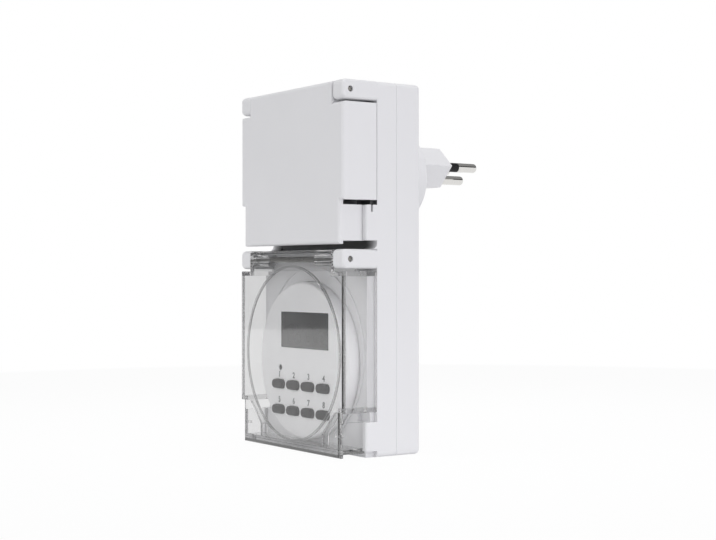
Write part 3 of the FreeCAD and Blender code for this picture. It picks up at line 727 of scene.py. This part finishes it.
def ledge_shade(tree, x, y, z):
    step_ledge = product(
        tree, between(tree, z, step_height - skin, step_height + side_wall + skin),
        above(tree, x, inside_half - 3.0 * skin),
    )
    top_ledge = product(
        tree, between(tree, z, ledge_height - side_wall - 2.0 * skin, ledge_height + skin),
        above(tree, x, hood_half - side_wall),
    )
    ledges = product(
        tree, any_of(tree, step_ledge, top_ledge), above(tree, y, rib_front), painted_shade_strengths["ledge"],
    )
    hood = product(
        tree, above(tree, z, ledge_height), below(tree, x, hood_half + skin), painted_shade_strengths["hood"],
    )
    return any_of(tree, ledges, hood)


def edge_shade(tree, x, y, z):
    upper = above(tree, z, step_height)
    lower = below(tree, z, step_height)
    sides = any_of(
        tree, product(tree, upper, above(tree, x, wide_half - corner_radius)),
        product(tree, lower, above(tree, x, narrow_half - corner_radius)),
    )
    corners = product(tree, sides, below(tree, y, corner_end), painted_shade_strengths["corner"])
    wide = product(
        tree, between(tree, y, wide_rim - skin, wide_rim + skin), painted_shade_strengths["wide_rim"],
    )
    narrow = product(
        tree, between(tree, y, narrow_rim - skin, narrow_rim + skin), painted_shade_strengths["narrow_rim"],
    )
    wide_end = product(
        tree, above(tree, x, wide_half - skin),
        between(tree, y, corner_end - skin, cover_low.y + wide_end_depth), painted_shade_strengths["wide_end"],
    )
    narrow_end = product(
        tree, lower, above(tree, x, narrow_half - skin), between(tree, y, corner_end - skin, rib_front),
        painted_shade_strengths["narrow_end"],
    )
    return any_of(tree, corners, wide, narrow, wide_end, narrow_end)


def floor_shade(tree, x, y, z):
    floor_side = product(
        tree, between(tree, z, floor_bottom - skin, floor_top), above(tree, x, inside_half),
        above(tree, y, rib_front), painted_shade_strengths["floor_side"],
    )
    floor_line = product(
        tree, between(tree, z, floor_top, floor_top + 3.0 * skin), below(tree, y, rib_front),
        below(tree, x, inside_half), painted_shade_strengths["floor_line"],
    )
    lip = product(tree, below(tree, z, floor_bottom + skin), painted_shade_strengths["lip"])
    return any_of(tree, floor_side, floor_line, lip)


# Painted shade and painted dark edges of the clear cover: the darkest of the masks above.
def cover_shade(tree):
    place = places(tree)
    shades = (ring_shade, rib_shade, ledge_shade, edge_shade, floor_shade)
    return any_of(tree, *(shade(tree, *place) for shade in shades))


def moulding_ripple_group():
    group, given, result = surface_group(
        "moulding_ripple", ("Colour", "Color", (0.9, 0.9, 0.9, 1.0)), ("Gloss", "Float", 0.03),
    )
    ripple = object_noise(group, ripple_scale, 2.0)
    uneven = spread(group, ripple, 1.0 - gloss_swing, 1.0 + gloss_swing)
    tinted = scaled_colour(group, given["Colour"], spread(group, ripple, clear_dimming, 1.0))
    group.links.new(tinted, result["Colour"])
    group.links.new(math_node(group, "MULTIPLY", uneven, given["Gloss"]), result["Roughness"])
    group.links.new(ripple, result["Height"])
    return group


moulding_ripple = moulding_ripple_group()


def clear_plastic_material(name, colour, gloss, index, shade=None):
    material = bpy.data.materials.new(name)
    tree = shader_tree(material)
    values = {"Colour": colour, "Gloss": gloss}
    shader = textured_shader(tree, moulding_ripple, values, ripple_depth, shade)
    shader.inputs["Transmission Weight"].default_value = 1.0
    shader.inputs["IOR"].default_value = index
    through = node(tree, "BsdfTransparent")
    through.inputs["Color"].default_value = white
    path = node(tree, "LightPath")
    in_shadow = path.outputs["Is Shadow Ray"]
    show(tree, mixed_shader(tree, in_shadow, shader.outputs[0], through.outputs[0]))
    return material


clear_plastic = clear_plastic_material(
    "clear_plastic", clear_colour, clear_gloss, acrylic_index, cover_shade,
)
finish_nodes(["timer_cover"], clear_plastic)


# Timer panel
# A round pale grey moulding carries the display window, the keys and a number over each key. Its colour
# is painted lighter than the housing's white, standing in for the light that the clear cover in front of
# it takes away.

# Painted light: lighter than the housing's white, standing in for the light that the clear cover takes
# away.
panel_colour_painted_lighter = (0.940, 0.940, 0.947, 1.0)
ink_colour = (0.16, 0.16, 0.165, 1.0)
number_size = 0.0034
number_rise = 0.0040
ink_thickness = 0.00003
ink_spread = 0.00009
key_names = (
    "day_key", "hour_key", "minute_key", "recall_key",
    "clock_key", "timer_key", "mode_key", "random_key",
)

finish_nodes(["timer_panel"], moulded_plastic("panel_plastic_painted_light", panel_colour_painted_lighter, 0.45))
print_ink = moulded_plastic("print_ink", ink_colour, 0.55, 0.15)
panel_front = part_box("timer_panel")[0].y
for number, name in enumerate(key_names, 1):
    low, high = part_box(name)
    words = bpy.data.curves.new("key_number_%d" % number, "FONT")
    words.body = str(number)
    words.size = number_size
    words.extrude = ink_thickness
    words.offset = ink_spread
    words.align_x = "CENTER"
    words.align_y = "CENTER"
    words.materials.append(print_ink)
    piece = bpy.data.objects.new("key_number_%d" % number, words)
    key_x = (low.x + high.x) / 2.0
    key_z = (low.z + high.z) / 2.0
    piece.location = (key_x, panel_front - ink_thickness, key_z + number_rise)
    piece.rotation_euler = (math.radians(90.0), 0.0, 0.0)
    scene.collection.objects.link(piece)
    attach(piece, "housing")


# Display window
# A clear acrylic pane, flush with the panel. Its colour is darkened to near black at its left and right
# ends.

pane_colour = (0.86, 0.865, 0.865, 1.0)
pane_gloss = 0.02
pane_edge = 0.00015


# Darkens the pane's colour to near black at its left and right ends.
def window_shade(tree):
    low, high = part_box("display_window")
    place = node(tree, "TexCoord")
    split = node(tree, "SeparateXYZ")
    tree.links.new(place.outputs["Object"], split.inputs[0])
    left = below(tree, split.outputs["X"], low.x + pane_edge)
    right = above(tree, split.outputs["X"], high.x - pane_edge)
    return any_of(tree, left, right)


window_plastic = clear_plastic_material(
    "window_plastic", pane_colour, pane_gloss, acrylic_index, window_shade,
)
finish_nodes(["display_window"], window_plastic)


# Display
# Grey liquid crystal glass behind the window. Its unlit segments show faintly.

glass_colour = (0.022, 0.023, 0.022, 1.0)
segment_colour = (0.012, 0.013, 0.012, 1.0)
frame_colour = (0.022, 0.022, 0.024, 1.0)
segment_gap = 0.00003
digit_width = 0.0036
digit_height = 0.0072
digit_drop = 0.0052
digit_places = (
    (-0.0135, 1.0), (-0.0080, 1.0), (0.0002, 1.0), (0.0057, 1.0), (0.0112, 0.62), (0.0146, 0.62),
)
colon_x = -0.0020
colon_width = 0.0009
colon_rises = (0.0022, 0.0048)
stroke = 0.0007
stroke_shoulder = stroke * 0.62
stroke_tip = stroke * 0.12
slant = 0.10


def display_plastic(name, colour):
    return moulded_plastic(name, colour, 0.16, 0.08, grain_depth=0.0000005, gleam=0.25)


def bar(body, start, end):
    start = Vector(start)
    end = Vector(end)
    along = (end - start).normalized()
    side = Vector((-along.y, along.x)) * stroke / 2.0
    first = start + along * stroke_shoulder
    last = end - along * stroke_shoulder
    outline = (
        start + along * stroke_tip, first + side, last + side,
        end - along * stroke_tip, last - side, first - side,
    )
    body.faces.new([body.verts.new((p.x + slant * p.y, 0.0, p.y)) for p in outline])


def digit(body, x, z, scale):
    w, h = digit_width * scale, digit_height * scale
    points = {
        "tl": (x, z + h), "tr": (x + w, z + h), "ml": (x, z + h / 2.0), "mr": (x + w, z + h / 2.0),
        "bl": (x, z), "br": (x + w, z),
    }
    for pair in ("tl tr", "ml mr", "bl br", "bl ml", "ml tl", "br mr", "mr tr"):
        start, end = pair.split()
        bar(body, points[start], points[end])


finish_nodes(["display_glass"], display_plastic("display_grey", glass_colour))
frame_black = moulded_plastic("frame_black", frame_colour, 0.5, 0.2)
finish_nodes(["display_frame"], frame_black)
finish_nodes(["display_connectors"], seal_rubber)

glass_low, glass_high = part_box("display_glass")
base = (glass_low.z + glass_high.z) / 2.0 - digit_drop
left = (glass_low.x + glass_high.x) / 2.0 - slant * base
body = bmesh.new()
for x, scale in digit_places:
    digit(body, left + x, base, scale)
for rise in colon_rises:
    bar(body, (left + colon_x, base + rise), (left + colon_x + colon_width, base + rise))
bmesh.ops.recalc_face_normals(body, faces=body.faces)
segments = mesh_piece("display_segments", body)
segments.data.transform(Matrix.Translation((0.0, glass_low.y - segment_gap, 0.0)))
segments.data.materials.append(display_plastic("segment_grey", segment_colour))
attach(segments, "housing")


# Keys
# Eight oval caps in dark grey, in two rows of four, each over a dome of the silicone mat. The reset
# plunger behind the pinhole is of the same plastic.

key_colour = (0.012, 0.012, 0.013, 1.0)
key_plastic = moulded_plastic("key_plastic", key_colour, 0.55, 0.12, gleam=0.25)
finish_nodes(key_names, key_plastic)
finish_nodes(["reset_plunger"], key_plastic)


# Plug
# The six-sided plug end is white like the housing. Its pins are nickel-plated brass, the line pins
# with a black sleeve over the root.

nickel_colour = (0.78, 0.77, 0.75, 1.0)
sleeve_colour = (0.012, 0.012, 0.013, 1.0)
finish_nodes(["plug_body"], white_plastic)
nickel = brushed_metal("nickel", nickel_colour, 0.10, (60.0, 4200.0, 60.0), 0.000002)
finish_nodes(["live_pin", "neutral_pin", "earth_pin"], nickel)
sleeve_black = moulded_plastic("sleeve_black", sleeve_colour, 0.50, 0.2, gleam=0.2)
finish_nodes(["live_pin_sleeve", "neutral_pin_sleeve"], sleeve_black)


# Socket
# The socket under the upper cover is a white insert with a six-sided well. Slit brass contacts
# stand behind its three holes in a carrier of the same plastic.

brass_colour = (0.78, 0.60, 0.30, 1.0)
finish_nodes(["socket_insert", "contact_carrier"], white_plastic)
contact_brass = brushed_metal("contact_brass", brass_colour, 0.26, (3000.0, 200.0, 3000.0), 0.000002)
finish_nodes(["live_contact", "neutral_contact", "earth_contact"], contact_brass)
finish_nodes(["live_strap", "neutral_strap", "earth_strap", "switched_strap"], contact_brass)


# Power board and control board
# Green glass fibre laminate with copper tracks under the lacquer, and the parts that stand on it.

track_colours = ((0.035, 0.200, 0.085, 1.0), (0.045, 0.235, 0.100, 1.0))
track_gap_colour = (0.020, 0.130, 0.055, 1.0)
track_gap = 0.03
track_scale = 260.0
track_shift = 0.37
track_height = 0.00003
weave_scale = 1800.0
board_satin = (0.25, 0.45)
film_colour = (0.72, 0.50, 0.10, 1.0)
can_colour = (0.74, 0.75, 0.77, 1.0)
tube_colour = (0.90, 0.93, 0.91, 1.0)
tube_gloss = 0.02
tube_index = 1.52
mat_colour = (0.44, 0.45, 0.46, 1.0)


def laminate_material():
    material = bpy.data.materials.new("board_laminate")
    tree = shader_tree(material)
    place = node(tree, "TexCoord")
    turned = node(tree, "Mapping")
    turned.inputs["Rotation"].default_value = (math.radians(90.0), 0.0, 0.0)
    tree.links.new(place.outputs["Object"], turned.inputs["Vector"])
    tracks = node(tree, "TexBrick")
    tracks.offset = track_shift
    tracks.inputs["Color1"].default_value = track_colours[0]
    tracks.inputs["Color2"].default_value = track_colours[1]
    tracks.inputs["Mortar"].default_value = track_gap_colour
    tracks.inputs["Scale"].default_value = track_scale
    tracks.inputs["Mortar Size"].default_value = track_gap
    tree.links.new(turned.outputs[0], tracks.inputs["Vector"])
    shader = node(tree, "BsdfPrincipled")
    tree.links.new(tracks.outputs["Color"], shader.inputs["Base Color"])
    weave = object_noise(tree, weave_scale, 2.0)
    tree.links.new(spread(tree, weave, *board_satin), shader.inputs["Roughness"])
    bumped(tree, tracks.outputs["Fac"], track_height, shader)
    show(tree, shader.outputs[0])
    return material


finish_nodes(["power_board", "control_board"], laminate_material())
finish_nodes(["relay", "processor", "board_header"], frame_black)
finish_nodes(["film_capacitor"], moulded_plastic("film_yellow", film_colour, 0.30, 0.08))
aluminium = brushed_metal("aluminium", can_colour, 0.32, (900.0, 90.0, 900.0), 0.000003)
finish_nodes(["smoothing_capacitor", "backup_battery"], aluminium)
finish_nodes(["fuse"], clear_plastic_material("fuse_glass", tube_colour, tube_gloss, tube_index))
finish_nodes(["keypad_mat"], moulded_plastic("mat_silicone", mat_colour, 0.65, 0.1))
